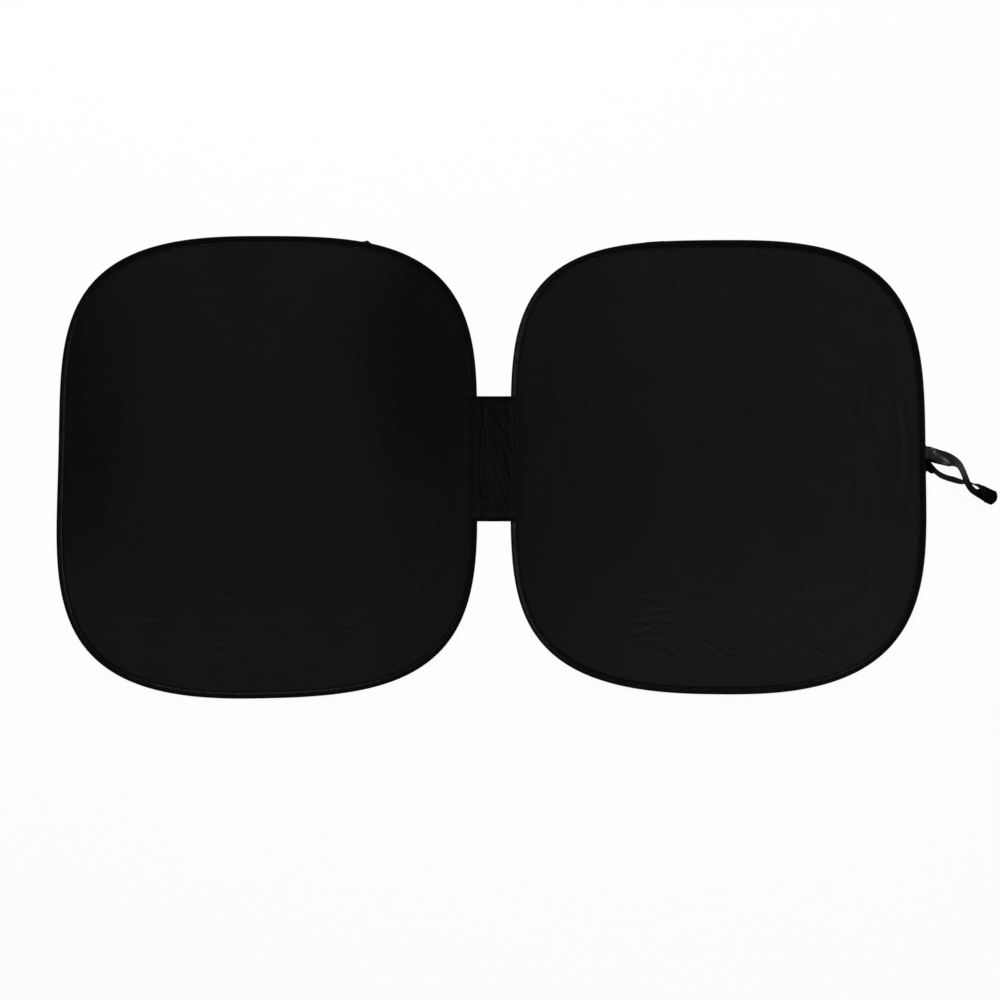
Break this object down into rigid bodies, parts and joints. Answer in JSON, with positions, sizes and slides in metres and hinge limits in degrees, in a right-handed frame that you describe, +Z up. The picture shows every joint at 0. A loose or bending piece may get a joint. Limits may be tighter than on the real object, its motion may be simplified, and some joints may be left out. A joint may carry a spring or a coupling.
{
  "type": "windscreen sunshade",
  "caption": "Folding windscreen sunshade: rounded square cloth panels on sprung steel hoops, joined by a cloth bridge, with an elastic holding loop at one edge.",
  "frame": {"origin": "on the floor under the middle of the bridge between the two panels, with the shade lying on its back", "axes": "+X along both panels towards the elastic loop, +Y up the windscreen, +Z up from the floor, out of the face that the picture shows"},
  "size_m": [1.622, 0.7979, 0.0494],
  "materials": {
    "panel_cloth": "matt black woven polyester",
    "binding_tape": "black polyester tape with a slight sheen",
    "spring_steel": "bright tempered strip",
    "ferrule_steel": "crimped plated tube",
    "elastic_band": "black satin elastic"
  },
  "bodies": {
    "root": {"left_panel_cloth": "panel_cloth", "right_panel_cloth": "panel_cloth", "bridge_cloth": "panel_cloth", "left_edge_binding": "binding_tape", "right_edge_binding": "binding_tape", "bridge_top_hem": "binding_tape", "bridge_bottom_hem": "binding_tape", "left_hoop_wire": "spring_steel", "right_hoop_wire": "spring_steel", "left_hoop_ferrule": "ferrule_steel", "right_hoop_ferrule": "ferrule_steel", "elastic_loop": "elastic_band"}
  },
  "joints": []
}
